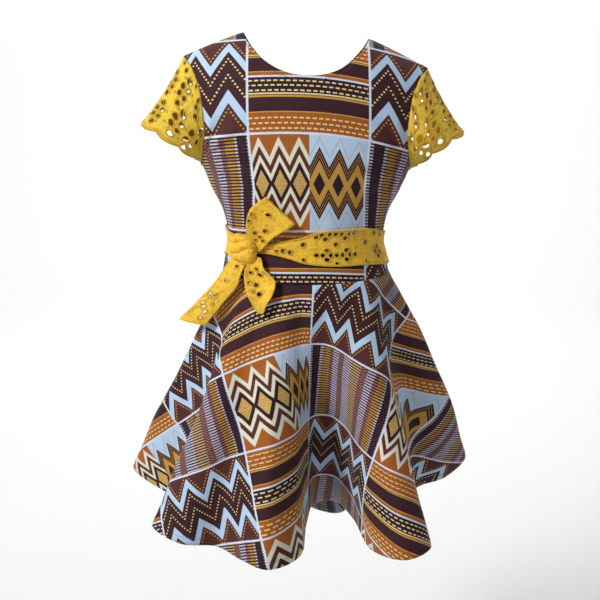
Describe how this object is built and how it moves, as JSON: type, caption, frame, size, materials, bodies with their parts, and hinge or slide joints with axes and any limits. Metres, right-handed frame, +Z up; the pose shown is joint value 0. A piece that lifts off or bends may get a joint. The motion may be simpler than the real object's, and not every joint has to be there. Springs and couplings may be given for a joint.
{
  "type": "child's dress",
  "caption": "Child's dress with a close bodice, a full flared skirt, short eyelet-lace sleeves with scalloped hems and a lace sash tied in a bow; worn, hollow form.",
  "frame": {"origin": "midway between the two points where the neckline meets the shoulder seams, where the wearer's shoulders carry the dress", "axes": "+Z up, front of the dress facing -Y, +X towards the wearer's left"},
  "size_m": [0.4727, 0.3558, 0.6507],
  "materials": {
    "print_cotton": "woven cotton with a multicolour patchwork print, matt with a slight sheen",
    "eyelet_lace": "yellow broderie anglaise with raised thread round the eyelets"
  },
  "bodies": {
    "root": {"bodice_front": "print_cotton", "bodice_back_left": "print_cotton", "bodice_back_right": "print_cotton", "skirt_front": "print_cotton", "skirt_back_left": "print_cotton", "skirt_back_right": "print_cotton", "sleeve_left_front": "eyelet_lace", "sleeve_left_back": "eyelet_lace", "sleeve_right_front": "eyelet_lace", "sleeve_right_back": "eyelet_lace", "sash_front": "eyelet_lace", "sash_back": "eyelet_lace", "sash_knot": "eyelet_lace", "bow_loop": "eyelet_lace", "bow_long_tail": "eyelet_lace", "bow_short_tail": "eyelet_lace"}
  },
  "joints": []
}
